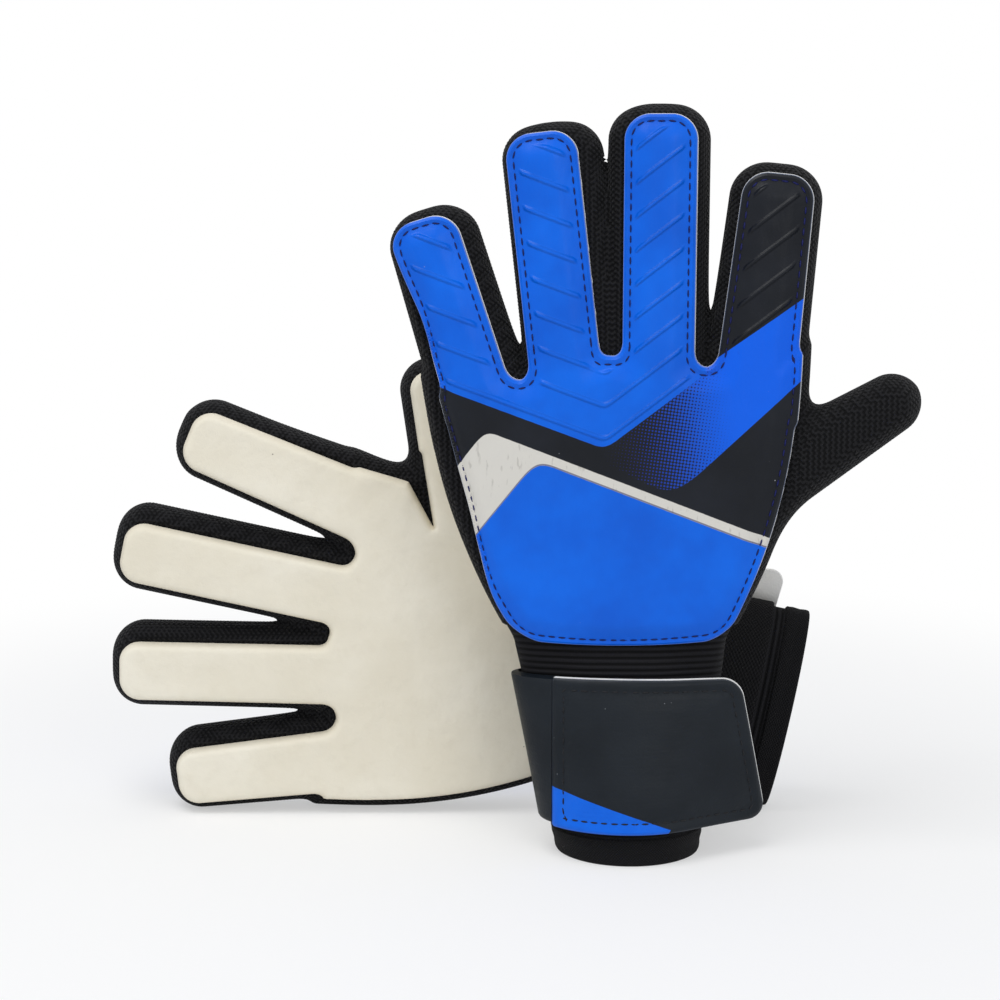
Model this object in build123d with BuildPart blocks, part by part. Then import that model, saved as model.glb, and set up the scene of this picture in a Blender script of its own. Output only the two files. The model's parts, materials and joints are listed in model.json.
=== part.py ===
"""A pair of junior goalkeeper gloves: the left one stands on its cuff, the right one on its little-finger edge.

Each glove is planned flat. u runs across the hand towards the thumb, v runs from the cuff to the fingertips,
and w is the thickness, from the middle of the glove towards its back. Sizes are millimetres and degrees.
"""

from build123d import *
from math import acos, atan2, cos, degrees, hypot, radians, sin
import os

os.makedirs("parts", exist_ok=True)

# Sheet materials
mesh_thickness = 1.4        # knitted mesh that lines and joins the panels
skin_thickness = 0.8        # printed skin of the back
foam_thickness = 2.4        # white foam under the skin
latex_thickness = 3.4       # latex foam of the palm
elastic_thickness = 1.4     # woven elastic of the cuff
strap_thickness = 1.6       # elastic of the wrist strap
hem_thickness = 0.8         # binding round the cuff's mouth
patch_thickness = 0.9       # loop patch and hook patch
tab_foam_thickness = 1.6    # foam inside the strap's tab
tab_skin_thickness = 1.0    # skin outside the strap's tab

# Glove plan
inside_height = 14.0        # between the palm sheet and the back sheet
panel_inset = 2.4           # how far the mesh stands out round the panels
cuff_length = 70.0          # from the mouth to the hand
below_wrist = 10.0          # the outline is drawn this much past the wrist
wrist_corner_little = -28.5
side_bulge_little = (-52.0, 104.0)
hand_corner_little = (-62.5, 150.0)
crotch_little_ring = (-31.0, 149.6)
crotch_ring_middle = (-4.5, 157.0)
crotch_middle_index = (25.0, 153.5)
hand_corner_index = (54.5, 157.0)
side_bulge_index = (48.5, 104.0)
wrist_corner_index = 30.0
panel_flap = 4.0            # the panels hang this far over the cuff in the middle
panel_flap_rise = 9.0       # their lower edge rises this much towards the sides
panel_flap_corner = 8.0     # radius of their lower corners

# Digits: where each hinge line is, the digit's width at its root and tip, and its length past the hinge line
digits = {
    "index": {"hinge": (42.2, 162.0), "root_width": 29.5, "tip_width": 26.5, "length": 49.0, "buried": 27.0},
    "middle": {"hinge": (10.3, 165.0), "root_width": 26.4, "tip_width": 26.4, "length": 63.0, "buried": 27.0},
    "ring": {"hinge": (-19.1, 165.0), "root_width": 26.4, "tip_width": 26.0, "length": 58.0, "buried": 29.0},
    "little": {"hinge": (-49.4, 158.0), "root_width": 28.0, "tip_width": 25.5, "length": 41.0, "buried": 25.0},
    "thumb": {"hinge": (62.4, 128.4), "root_width": 27.0, "tip_width": 18.5, "length": 30.5, "buried": 31.0},
}
fingers = ("index", "middle", "ring", "little")
hinge_gap = 0.6             # between the hand and a digit, at the hinge line
zone_margin = 0.6           # a digit's cutting zone is this much wider than the digit each side

# Cuff and strap
cuff_neck = (33.3, inside_height / 2 - 0.9)   # half width and half depth where the cuff meets the hand
hem_height = 8.0
strap_bottom = 12.0
strap_top = 56.0
strap_start_angle = 355.0   # round the cuff; 0 is the thumb side, 90 the middle of the back
patch_margin = 5.0          # hook and loop stop this far from the strap's edges
loop_angles = (122.0, 60.0)
hook_angles = (118.0, 64.0)
seat_gap = 0.1              # between sheets of one body that curve together
peel_gap = 0.5              # between the loop patch and the hook patch
tab_lower_end = 45.6        # how far the tab reaches past the middle, at its bottom and its top
tab_upper_end = 36.6
tab_corner = 5.0

# The pair, as it is displayed
gloves_apart = 41.0         # between the middle planes of the two gloves
right_glove_shift = 58.7    # from the left glove's middle to the right glove's mouth
pair_middle = (-37.7, 15.9)   # the pair's middle, measured from the left glove's mouth

half_height = inside_height / 2
patch_level = seat_gap + patch_thickness + peel_gap
tab_foam_level = patch_level + patch_thickness + seat_gap
tab_skin_level = tab_foam_level + tab_foam_thickness + seat_gap
tab_outside = tab_skin_level + tab_skin_thickness


class Glove:
    """One glove: which side of its plane the back is on, its cuff, how the digits fan out, and its strap."""

    def __init__(self, name, back, mouth, mouth_shift, leans, tab_root, tab_leave_angle, strap_end_angle):
        self.name = name
        self.back = back                        # +1: the back faces the plane's normal; -1: the palm does
        self.mouth = mouth                      # half width and half depth of the cuff's mouth
        self.mouth_shift = mouth_shift          # how far the mouth stands towards the thumb
        self.leans = leans                      # each digit's lean from v towards u
        self.tab_root = tab_root                # u where the tab is sewn to the strap
        self.tab_leave_angle = tab_leave_angle  # round the cuff, where the tab runs on straight
        self.strap_end_angle = strap_end_angle  # round the cuff, where the strap goes under the tab
        self.plane = Plane.XY

    def level(self, height):
        """The glove's plane, moved by a height towards the back."""
        return self.plane.offset(self.back * height)

    def across(self, v):
        """A plane across the cuff: its x is u and its y is w, towards the back."""
        return Plane(
            origin=self.plane.origin + self.plane.y_dir * v,
            x_dir=self.plane.x_dir,
            z_dir=self.plane.y_dir * -self.back,
        )

    def cuff_size(self, v):
        """Half width, half depth and sideways shift of the cuff's outside."""
        share = v / cuff_length
        return (
            self.mouth[0] + (cuff_neck[0] - self.mouth[0]) * share,
            self.mouth[1] + (cuff_neck[1] - self.mouth[1]) * share,
            self.mouth_shift * (1 - share),
        )

    def digit_line(self, digit):
        """The digit's hinge point and its direction in the plan."""
        lean = radians(self.leans[digit])
        return Vector(*digits[digit]["hinge"]), Vector(sin(lean), cos(lean))


left = Glove(
    "left", back=1, mouth=(21.5, 19.0), mouth_shift=3.0,
    leans={"index": 8.0, "middle": 0.0, "ring": -6.5, "little": -17.0, "thumb": 58.0},
    tab_root=-21.0, tab_leave_angle=52.0, strap_end_angle=156.0,
)
right = Glove(
    "right", back=-1, mouth=(33.0, 8.0), mouth_shift=0.0,
    leans={"index": 12.0, "middle": 1.0, "ring": -10.0, "little": -17.5, "thumb": 66.0},
    tab_root=-30.0, tab_leave_angle=32.0, strap_end_angle=136.0,
)

# The left glove stands upright. The right glove leans until its hem and its little finger touch the table.
left.plane = Plane(origin=(-pair_middle[0], -pair_middle[1], 0), x_dir=(1, 0, 0), z_dir=(0, -1, 0))

hem_corner = Vector(-(right.mouth[0] + seat_gap + hem_thickness), 0)
strap_edge = Vector(-(right.cuff_size(strap_bottom)[0] + seat_gap + strap_thickness), strap_bottom)
little_hinge, little_way = right.digit_line("little")
little_radius = digits["little"]["tip_width"] / 2
little_end = little_hinge + little_way * (digits["little"]["length"] - little_radius)
little_side = ThreePointArc((wrist_corner_little, cuff_length - below_wrist), side_bulge_little, hand_corner_little)

reach = little_end - hem_corner
right_lean = degrees(atan2(reach.Y, reach.X) - acos(little_radius / hypot(reach.X, reach.Y)))


def lowest(point, radius=0.0):
    return point.X * cos(radians(right_lean)) + point.Y * sin(radians(right_lean)) - radius


right_height = -min(
    lowest(hem_corner), lowest(strap_edge), lowest(little_end, little_radius),
    lowest(little_side.arc_center, little_side.radius),
)
right.plane = Plane(
    origin=(right_glove_shift - pair_middle[0], gloves_apart - pair_middle[1], right_height),
    x_dir=(sin(radians(right_lean)), 0, cos(radians(right_lean))),
    z_dir=(0, -1, 0),
)


def digit_plan(glove, digit, grow=0.0):
    """A digit's outline, from a point inside the hand to its tip."""
    size = digits[digit]
    hinge, way = glove.digit_line(digit)
    with BuildSketch() as plan:
        with Locations(hinge - way * size["buried"]):
            Circle(size["root_width"] / 2 + grow)
        with Locations(hinge + way * (size["length"] - size["tip_width"] / 2)):
            Circle(size["tip_width"] / 2 + grow)
        make_hull()
    return plan.sketch


def digit_zone(glove, digit, clearance):
    """Where a digit is: round its outline, from its hinge line on."""
    hinge, way = glove.digit_line(digit)
    with BuildSketch() as zone:
        add(digit_plan(glove, digit, zone_margin))
        with Locations(hinge + way * (clearance - 100)):
            Rectangle(400, 200, rotation=-glove.leans[digit], mode=Mode.SUBTRACT)
    return zone.sketch


def hand_plan(glove, with_thumb):
    """The whole outline, drawn a little past the wrist."""
    wrist_little = (wrist_corner_little, cuff_length - below_wrist)
    wrist_index = (wrist_corner_index, cuff_length - below_wrist)
    with BuildSketch() as plan:
        with BuildLine():
            add(little_side)
            Polyline(
                hand_corner_little, crotch_little_ring, crotch_ring_middle,
                crotch_middle_index, hand_corner_index,
            )
            ThreePointArc(hand_corner_index, side_bulge_index, wrist_index)
            Line(wrist_index, wrist_little)
        make_face()
        for finger in fingers:
            add(digit_plan(glove, finger))
        if with_thumb:
            add(digit_plan(glove, "thumb"))
    return plan.sketch


def inset_plan(plan, inset):
    with BuildSketch() as smaller:
        add(plan)
        offset(amount=-inset, mode=Mode.REPLACE)
    return smaller.sketch


def panel_plan(plan):
    """A panel's outline: inset from the mesh, with a lower edge that bows down over the cuff."""
    low = cuff_length - panel_flap
    with BuildSketch() as panel:
        add(inset_plan(plan, panel_inset))
        with BuildSketch(mode=Mode.INTERSECT):
            with BuildLine():
                ThreePointArc((-60, low + panel_flap_rise), (0, low), (60, low + panel_flap_rise))
                Polyline(
                    (60, low + panel_flap_rise), (200, low + panel_flap_rise), (200, 300),
                    (-200, 300), (-200, low + panel_flap_rise), (-60, low + panel_flap_rise),
                )
            make_face()
        corners = panel.vertices().filter_by_position(Axis.Y, low - 1, low + panel_flap_rise / 2)
        fillet(corners, panel_flap_corner)
    return panel.sketch


def split_plan(glove, plan, names):
    """Cut a plan into the hand's piece and one piece for each digit."""
    pieces = {}
    with BuildSketch() as hand:
        add(plan)
        for name in names:
            add(digit_zone(glove, name, -hinge_gap / 2), mode=Mode.SUBTRACT)
    pieces["hand"] = hand.sketch
    for name in names:
        with BuildSketch() as piece:
            add(plan)
            add(digit_zone(glove, name, hinge_gap / 2), mode=Mode.INTERSECT)
        pieces[name] = piece.sketch
    return pieces


def save(part, name):
    part.part.label = name
    export_step(part.part, f"parts/{name}.step")


def sheet(glove, piece, low, high, name):
    """A flat sheet between two levels."""
    with BuildPart() as part:
        with BuildSketch(glove.level(low)):
            add(piece)
        extrude(amount=glove.back * (high - low))
    save(part, name)


def pocket(glove, piece, hollow, name):
    """A mesh pocket: the piece's outline all round, with the hollow's outline taken out between its sheets."""
    with BuildPart() as part:
        with BuildSketch(glove.level(-half_height)):
            add(piece)
        extrude(amount=glove.back * inside_height)
        with BuildSketch(glove.level(mesh_thickness - half_height)):
            add(hollow)
        extrude(amount=glove.back * (inside_height - 2 * mesh_thickness), mode=Mode.SUBTRACT)
        if name.endswith("hand_gusset"):
            with BuildSketch(glove.level(-half_height)):
                with Locations((0, cuff_length - 50)):
                    Rectangle(200, 100)
            extrude(amount=glove.back * inside_height, mode=Mode.SUBTRACT)
    save(part, name)


def tube(glove, low, high, inner, outer, name):
    """A tapered tube round the cuff, between two offsets from the cuff's outside."""
    with BuildPart() as part:
        for grow, way in ((outer, Mode.ADD), (inner, Mode.SUBTRACT)):
            for v in (low, high):
                width, depth, shift = glove.cuff_size(v)
                with BuildSketch(glove.across(v)):
                    with Locations((shift, 0)):
                        Ellipse(width + grow, depth + grow)
            loft(ruled=True, mode=way)
    save(part, name)


def band_section(glove, v, inner, outer, start, end, run_on):
    """A band's section round the cuff, between two angles, that may run on straight past the end."""
    width, depth, shift = glove.cuff_size(v)
    middle = Vector(shift, 0)

    def at(grow, angle):
        return middle + Vector((width + grow) * cos(radians(angle)), (depth + grow) * sin(radians(angle)))

    on = Vector(width * sin(radians(end)), -depth * cos(radians(end))).normalized() * run_on
    with BuildSketch() as section:
        with BuildLine():
            EllipticalCenterArc(middle, width + inner, depth + inner, start_angle=end, arc_size=start - end)
            EllipticalCenterArc(middle, width + outer, depth + outer, start_angle=end, arc_size=start - end)
            Line(at(inner, start), at(outer, start))
            if run_on:
                Line(at(inner, end), at(inner, end) + on)
                Line(at(outer, end), at(outer, end) + on)
            Line(at(inner, end) + on, at(outer, end) + on)
        make_face()
    return section.sketch


def band(glove, low, high, inner, outer, start, end, name):
    """A piece of a band that follows the cuff."""
    with BuildPart() as part:
        for v in (low, high):
            with BuildSketch(glove.across(v)):
                add(band_section(glove, v, inner, outer, start, end, 0))
        loft(ruled=True)
    save(part, name)


def tab_layer(glove, inner, outer, edge, name):
    """One layer of the strap's tab: a band that runs on past the cuff, cut to the tab's rounded outline."""
    low, high = strap_bottom - 4, strap_top + 4
    with BuildPart() as part:
        for v in (low, high):
            with BuildSketch(glove.across(v)):
                add(band_section(glove, v, inner, outer, 175, glove.tab_leave_angle, 70))
        loft(ruled=True)
        with BuildSketch(glove.level(-60)) as front:
            with BuildLine():
                Polyline(
                    (glove.tab_root, strap_bottom + edge), (tab_lower_end - edge, strap_bottom + edge),
                    (tab_upper_end - edge, strap_top - edge), (glove.tab_root, strap_top - edge),
                    close=True,
                )
            make_face()
            fillet(front.vertices().filter_by_position(Axis.X, 20, 90), tab_corner - edge)
        extrude(amount=glove.back * 120, mode=Mode.INTERSECT)
    save(part, name)


for glove in (left, right):
    glove_name = glove.name
    back_plan = hand_plan(glove, with_thumb=False)
    palm_plan = hand_plan(glove, with_thumb=True)
    every_digit = fingers + ("thumb",)

    backs = split_plan(glove, panel_plan(back_plan), fingers)
    palms = split_plan(glove, panel_plan(palm_plan), every_digit)
    meshes = split_plan(glove, palm_plan, every_digit)
    hollow = inset_plan(palm_plan, mesh_thickness)

    for place, piece in backs.items():
        foam_top = half_height + foam_thickness
        sheet(glove, piece, half_height, foam_top, f"{glove_name}_{place}_back_foam")
        sheet(glove, piece, foam_top, foam_top + skin_thickness, f"{glove_name}_{place}_back_skin")
    for place, piece in palms.items():
        latex_name = "palm_latex" if place == "hand" else f"{place}_latex"
        sheet(glove, piece, -half_height, -half_height - latex_thickness, f"{glove_name}_{latex_name}")
    for place, piece in meshes.items():
        mesh_name = "thumb_mesh" if place == "thumb" else f"{place}_gusset"
        pocket(glove, piece, hollow, f"{glove_name}_{mesh_name}")

    tube(glove, 0, cuff_length, -elastic_thickness, 0, f"{glove_name}_cuff_elastic")
    tube(glove, 0, hem_height, seat_gap, seat_gap + hem_thickness, f"{glove_name}_cuff_hem")
    band(
        glove, strap_bottom, strap_top, seat_gap, seat_gap + strap_thickness,
        strap_start_angle, glove.strap_end_angle, f"{glove_name}_strap_elastic",
    )
    band(
        glove, strap_bottom + patch_margin, strap_top - patch_margin, seat_gap, seat_gap + patch_thickness,
        *loop_angles, f"{glove_name}_loop_patch",
    )
    band(
        glove, strap_bottom + patch_margin, strap_top - patch_margin, patch_level, patch_level + patch_thickness,
        *hook_angles, f"{glove_name}_hook_patch",
    )
    tab_foam_top = tab_foam_level + tab_foam_thickness
    tab_layer(glove, tab_foam_level, tab_foam_top, 0, f"{glove_name}_tab_foam")
    tab_layer(glove, tab_skin_level, tab_outside, 0, f"{glove_name}_tab_skin")
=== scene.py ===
import bmesh
import bpy
import json
import math
import numpy as np
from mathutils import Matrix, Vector
from mathutils.geometry import delaunay_2d_cdt


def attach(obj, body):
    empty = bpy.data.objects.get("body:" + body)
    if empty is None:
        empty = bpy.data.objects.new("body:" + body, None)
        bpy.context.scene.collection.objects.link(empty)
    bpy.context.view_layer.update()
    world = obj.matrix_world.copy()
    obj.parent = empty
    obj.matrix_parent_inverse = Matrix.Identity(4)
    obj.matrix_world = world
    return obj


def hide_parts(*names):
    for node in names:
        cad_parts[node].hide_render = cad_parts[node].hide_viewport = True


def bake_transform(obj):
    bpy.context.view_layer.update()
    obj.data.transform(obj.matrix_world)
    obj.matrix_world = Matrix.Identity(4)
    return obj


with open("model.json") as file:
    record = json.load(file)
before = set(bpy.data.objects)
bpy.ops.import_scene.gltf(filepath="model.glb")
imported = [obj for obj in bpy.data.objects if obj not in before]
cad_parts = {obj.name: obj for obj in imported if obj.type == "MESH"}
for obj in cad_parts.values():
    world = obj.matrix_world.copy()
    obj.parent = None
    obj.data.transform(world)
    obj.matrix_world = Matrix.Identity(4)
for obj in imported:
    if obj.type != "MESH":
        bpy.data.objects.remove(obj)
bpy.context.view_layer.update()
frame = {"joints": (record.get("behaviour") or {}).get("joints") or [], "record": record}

record = frame["record"]

# The gloves are laid out flat, in millimetres.
# u runs across the hand towards the thumb, v from the cuff to the fingertips, w towards the back of the hand

handPlan = dict(
    cuffLength=70.0,
    wristLittle=(-28.5, 60.0), sideLittle=(-52.0, 104.0), cornerLittle=(-61.2, 148.0),
    crotches=((-31.0, 149.6), (-4.5, 157.0), (25.0, 153.5)),
    cornerIndex=(54.5, 157.0), sideIndex=(48.5, 104.0), wristIndex=(30.0, 60.0),
    crotchRound=5.0,      # how softly the fingers run into each other
    fingertipCorner=10.0,
)
digitPlan = dict(
    index=dict(root=29.5, tip=26.5, length=49.0, buried=27.0),
    middle=dict(root=26.4, tip=26.4, length=63.0, buried=27.0),
    ring=dict(root=26.4, tip=26.0, length=58.0, buried=29.0),
    little=dict(root=28.0, tip=25.5, length=41.0, buried=25.0),
    thumb=dict(root=27.0, tip=18.5, length=30.5, buried=31.0),
)
fingerNames = ("index", "middle", "ring", "little")
# how a sewn digit sits off its hinge: aside, turned towards the little finger, longer
digitSet = dict(left=dict(index=(-1.4, 2.2, 0.0)), right=dict(index=(0.0, 0.0, 3.5)))
# how much wider the left glove's knit is, towards the little finger and towards the index
knitExtra = dict(index=(1.5, 0.0), middle=(3.2, 0.6), ring=(0.0, 4.2), little=(0.0, 2.0))
bendHalf = 7.0            # how far each side of a digit's hinge line finishPiece takes its two ends
nearDigit = 4.8           # fabric this close to a digit may belong to it
cutBefore = 7.5           # and its pieces start this far before the hinge line


def arcPoints(a, b, c, count):
    (ax, ay), (bx, by), (cx, cy) = a, b, c
    m = np.array([[bx - ax, by - ay], [cx - ax, cy - ay]]) * 2
    k = np.array([bx * bx - ax * ax + by * by - ay * ay, cx * cx - ax * ax + cy * cy - ay * ay])
    mid = np.linalg.solve(m, k)
    radius = np.hypot(*(mid - a))
    turn = [math.atan2(p[1] - mid[1], p[0] - mid[0]) for p in (a, b, c)]
    for i in (1, 2):
        while turn[i] - turn[i - 1] > math.pi:
            turn[i] -= 2 * math.pi
        while turn[i] - turn[i - 1] < -math.pi:
            turn[i] += 2 * math.pi
    angles = np.linspace(turn[0], turn[2], count)
    return np.column_stack([mid[0] + radius * np.cos(angles), mid[1] + radius * np.sin(angles)])


class Glove:
    # one glove: where its flat plan stands in the row frame, and its digits' hinge lines

    def __init__(self, name, back, mouthShift, shear, panelInset, latexInset):
        self.name, self.back, self.shear = name, back, shear
        self.panelInset, self.latexInset = panelInset, latexInset
        mouth = next(m for m in record["mounts"] if m["name"] == name + "_wrist_opening")
        self.y = -np.array(mouth["axis"], float)
        self.z = np.array([0.0, -1.0, 0.0])
        self.x = np.cross(self.y, self.z)
        self.origin = np.array(mouth["pos_m"], float) * 1000 - self.x * mouthShift
        self.mouthShift = mouthShift
        self.digits = {}
        for joint in frame["joints"]:
            side, digit = joint["name"].split("_")[:2]
            if side == name and digit in digitPlan:
                palm = -back * self.z
                way = np.cross(palm, np.array(joint["axis"], float))
                at = np.array(joint["pos_m"], float) * 1000 - self.origin
                self.digits[digit] = dict(
                    hinge=np.array([at @ self.x, at @ self.y]),
                    way=np.array([way @ self.x, way @ self.y]),
                    **digitPlan[digit],
                )
                aside, turn, longer = digitSet[name].get(digit, (0.0, 0.0, 0.0))
                d = self.digits[digit]
                c, s = math.cos(math.radians(turn)), math.sin(math.radians(turn))
                d["centre"] = d["hinge"] + np.array([aside, 0.0])
                d["line"] = np.array([d["way"][0] * c - d["way"][1] * s, d["way"][0] * s + d["way"][1] * c])
                d["length"] += longer

    def place(self, u, v, w):
        # from the plan to the row frame, in metres; the back leans a little towards the little finger
        u = u + self.shear * (8.0 - w) * smooth(60, 100, v)
        p = self.origin + np.outer(u, self.x) + np.outer(v, self.y) + np.outer(w * self.back, self.z)
        return p / 1000

    def along(self, digit, points):
        # distance past the digit's hinge line, and across the digit
        d = self.digits[digit]
        rel = points - d["centre"]
        return rel @ d["line"], rel[:, 0] * d["line"][1] - rel[:, 1] * d["line"][0]

    def digitDistance(self, digit, points, corner):
        # signed distance to a tapered finger with a rounded-off square tip
        d = self.digits[digit]
        s, t = self.along(digit, points)
        r1, r2 = d["root"] / 2, d["tip"] / 2
        slope = (r1 - r2) / (d["length"] - r2 + d["buried"])
        side = (np.abs(t) - (r1 - slope * (s + d["buried"]))) * math.sqrt(1 - slope * slope)
        side = np.maximum(side, -(s + d["buried"]))
        end = s - d["length"]
        corner = min(corner, r2 - 0.3)
        return roundedMost(side, end, corner)

    def distance(self, points, thumb=True, only=None):
        # signed distance to the glove's outline, negative inside
        if only:
            return self.digitDistance(only, points, handPlan["fingertipCorner"])
        d = polygonDistance(points, palmOutline)
        for digit in fingerNames:
            d = smoothMin(d, self.digitDistance(digit, points, handPlan["fingertipCorner"]), handPlan["crotchRound"])
        if thumb:
            d = smoothMin(d, self.digitDistance("thumb", points, 9.0), 7.0)
        return d

    def knitDistance(self, points):
        # the knit stands out further on the index side of each finger than on the other
        d = self.distance(points)
        if self.back < 0:
            u, v = points.T
            over = np.column_stack([2.6 * smooth(146, 160, v) * smooth(62, 54, u), np.zeros(len(points))])
            return smoothMin(d, self.distance(points - over), 2.0)
        for digit, wide in knitExtra.items():
            c = self.digits[digit]
            side = np.array([c["way"][1], -c["way"][0]])
            for sign, extra in zip((-1, 1), wide):
                if extra:
                    moved = self.digitDistance(digit, points - side * sign * extra, handPlan["fingertipCorner"])
                    d = smoothMin(d, moved, 2.0)
        return d

    def owner(self, points, digits):
        # 0 for the hand, or 1 + the digit's index where the piece belongs to that digit
        out = np.zeros(len(points), int)
        for i, digit in enumerate(digits):
            s, t = self.along(digit, points)
            near = self.digitDistance(digit, points, 9.0) < nearDigit
            out[near & (s > -cutBefore)] = i + 1
        return out


def smooth(lo, hi, x):
    t = np.clip((np.asarray(x, float) - lo) / (hi - lo), 0, 1)
    return t * t * (3 - 2 * t)


def roundedMost(a, b, radius):
    # the larger of two distances, with a rounded corner where they meet
    return np.minimum(np.maximum(a, b), -radius) + np.hypot(np.maximum(a + radius, 0), np.maximum(b + radius, 0))


def smoothMin(a, b, k):
    h = np.maximum(k - np.abs(a - b), 0) / k
    return np.minimum(a, b) - h * h * k / 4


def polygonDistance(points, polygon):
    best = np.full(len(points), 1e9)
    inside = np.zeros(len(points), bool)
    for a, b in zip(polygon, np.roll(polygon, -1, axis=0)):
        edge = b - a
        rel = points - a
        t = np.clip((rel @ edge) / (edge @ edge), 0, 1)
        best = np.minimum(best, ((rel - np.outer(t, edge)) ** 2).sum(1))
        crosses = (a[1] > points[:, 1]) != (b[1] > points[:, 1])
        if edge[1]:
            at = a[0] + (points[:, 1] - a[1]) / edge[1] * edge[0]
            inside ^= crosses & (points[:, 0] < at)
    return np.where(inside, -1, 1) * np.sqrt(best)


palmOutline = np.vstack([
    arcPoints(handPlan["wristLittle"], handPlan["sideLittle"], handPlan["cornerLittle"], 24),
    np.array(handPlan["crotches"]),
    arcPoints(handPlan["cornerIndex"], handPlan["sideIndex"], handPlan["wristIndex"], 24),
])
left = Glove("left", 1, 3.0, 0.17, 2.5, 3.2)
right = Glove("right", -1, 0.0, 0.0, 2.5, 3.6)
print("plans of both gloves are ready")


# Outlines and flat sheets

def contour(distance, level, step, window=(-75, 95, 55, 240), pitch=0.7):
    # closed loops where the distance equals the level, as evenly spaced points
    xs = np.arange(window[0], window[1], pitch)
    ys = np.arange(window[2], window[3], pitch)
    gx, gy = np.meshgrid(xs, ys)
    f = distance(np.column_stack([gx.ravel(), gy.ravel()])).reshape(gx.shape) - level
    f[f == 0] = 1e-9
    links = {}

    def crossing(i, j, ii, jj):
        t = f[i, j] / (f[i, j] - f[ii, jj])
        return (xs[j] + (xs[jj] - xs[j]) * t, ys[i] + (ys[ii] - ys[i]) * t)

    sign = f > 0
    mixed = (sign[:-1, :-1] != sign[1:, :-1]) | (sign[:-1, :-1] != sign[:-1, 1:]) | (sign[:-1, :-1] != sign[1:, 1:])
    spots = {}
    for i, j in zip(*np.nonzero(mixed)):
        corners = [(i, j), (i, j + 1), (i + 1, j + 1), (i + 1, j)]
        cut = []
        for a, b in zip(corners, corners[1:] + corners[:1]):
            if sign[a] != sign[b]:
                key = (min(a, b), max(a, b))
                spots[key] = crossing(*key[0], *key[1])
                cut.append(key)
        for a, b in zip(cut[::2], cut[1::2]):
            links.setdefault(a, []).append(b)
            links.setdefault(b, []).append(a)
    loops, seen = [], set()
    for start in links:
        if start in seen:
            continue
        chain, here = [start], start
        seen.add(start)
        while True:
            onward = [k for k in links[here] if k not in seen]
            if not onward:
                break
            here = onward[0]
            seen.add(here)
            chain.append(here)
        if len(chain) > 12:
            loops.append(np.array([spots[k] for k in chain]))
    result = []
    for loop in loops:
        closed = np.vstack([loop, loop[:1]])
        run = np.concatenate([[0], np.cumsum(np.hypot(*np.diff(closed, axis=0).T))])
        count = max(12, int(round(run[-1] / step)))
        at = np.linspace(0, run[-1], count, endpoint=False)
        even = np.column_stack([np.interp(at, run, closed[:, k]) for k in (0, 1)])
        for _ in range(3):
            h = 0.02
            d = distance(even) - level
            gu = (distance(even + [h, 0]) - distance(even - [h, 0])) / (2 * h)
            gv = (distance(even + [0, h]) - distance(even - [0, h])) / (2 * h)
            even -= np.column_stack([gu, gv]) * (d / np.maximum(gu * gu + gv * gv, 0.25))[:, None]
        area = (even[:, 0] * np.roll(even[:, 1], -1) - np.roll(even[:, 0], -1) * even[:, 1]).sum()
        result.append(even if area > 0 else even[::-1])
    return sorted(result, key=len, reverse=True)


def hexPoints(window, pitch):
    rows = np.arange(window[2], window[3], pitch * 0.866)
    out = []
    for i, y in enumerate(rows):
        x = np.arange(window[0], window[1], pitch) + (pitch / 2 if i % 2 else 0)
        out.append(np.column_stack([x, np.full(len(x), y)]))
    return np.vstack(out)


def flatSheet(glove, distance, level, step, rings, pitch, digits, window=(-75, 95, 55, 240)):
    # triangulates the plan inside a level, with rings that follow its edge and cuts at the digits' hinge lines
    loops = contour(distance, level, step, window)
    points, edges = [], []
    for loop in loops:
        first = sum(len(p) for p in points)
        n = len(loop)
        points.append(loop)
        edges += [(first + k, first + (k + 1) % n) for k in range(n)]
    for depth in rings:
        for loop in contour(distance, level - depth, max(step, depth * 0.55), window):
            points.append(loop)
    inner = hexPoints(window, pitch)
    points.append(inner[distance(inner) < level - rings[-1] - pitch * 0.55])
    for digit in digits:
        d = glove.digits[digit]
        across = np.array([d["way"][1], -d["way"][0]])
        half = d["root"] / 2 + 1.0
        line = np.array([d["hinge"] - d["way"] * cutBefore + across * t for t in np.arange(-half, half + 0.01, 1.0)])
        line = line[glove.digitDistance(digit, line, 9.0) < 0.9]
        first = sum(len(p) for p in points)
        keep = distance(line) < level + 1.0
        line = line[keep]
        points.append(line)
        edges += [(first + k, first + k + 1) for k in range(len(line) - 1)]
    every = np.vstack(points)
    found = delaunay_2d_cdt([Vector(p) for p in every.tolist()], edges, [], 0, 1e-4)
    verts = np.array([tuple(p) for p in found[0]])
    faces = np.array([f for f in found[2] if len(f) == 3], int)
    centres = verts[faces].mean(1)
    keep = distance(centres) < level
    faces = faces[keep]
    centres = centres[keep]
    a, b, c = (verts[faces[:, k]] for k in range(3))
    area = (b[:, 0] - a[:, 0]) * (c[:, 1] - a[:, 1]) - (c[:, 0] - a[:, 0]) * (b[:, 1] - a[:, 1])
    faces[area < 0] = faces[area < 0][:, ::-1]
    faces, centres = faces[np.abs(area) > 1e-7], centres[np.abs(area) > 1e-7]
    return dict(verts=verts, faces=faces, owner=glove.owner(centres, digits), digits=digits, level=level)


def rimEdges(faces):
    # directed edges that only one triangle has
    count = {}
    for f in faces.tolist():
        for a, b in ((f[0], f[1]), (f[1], f[2]), (f[2], f[0])):
            key = (min(a, b), max(a, b))
            count[key] = None if key in count else (a, b)
    return [e for e in count.values() if e]


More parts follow.
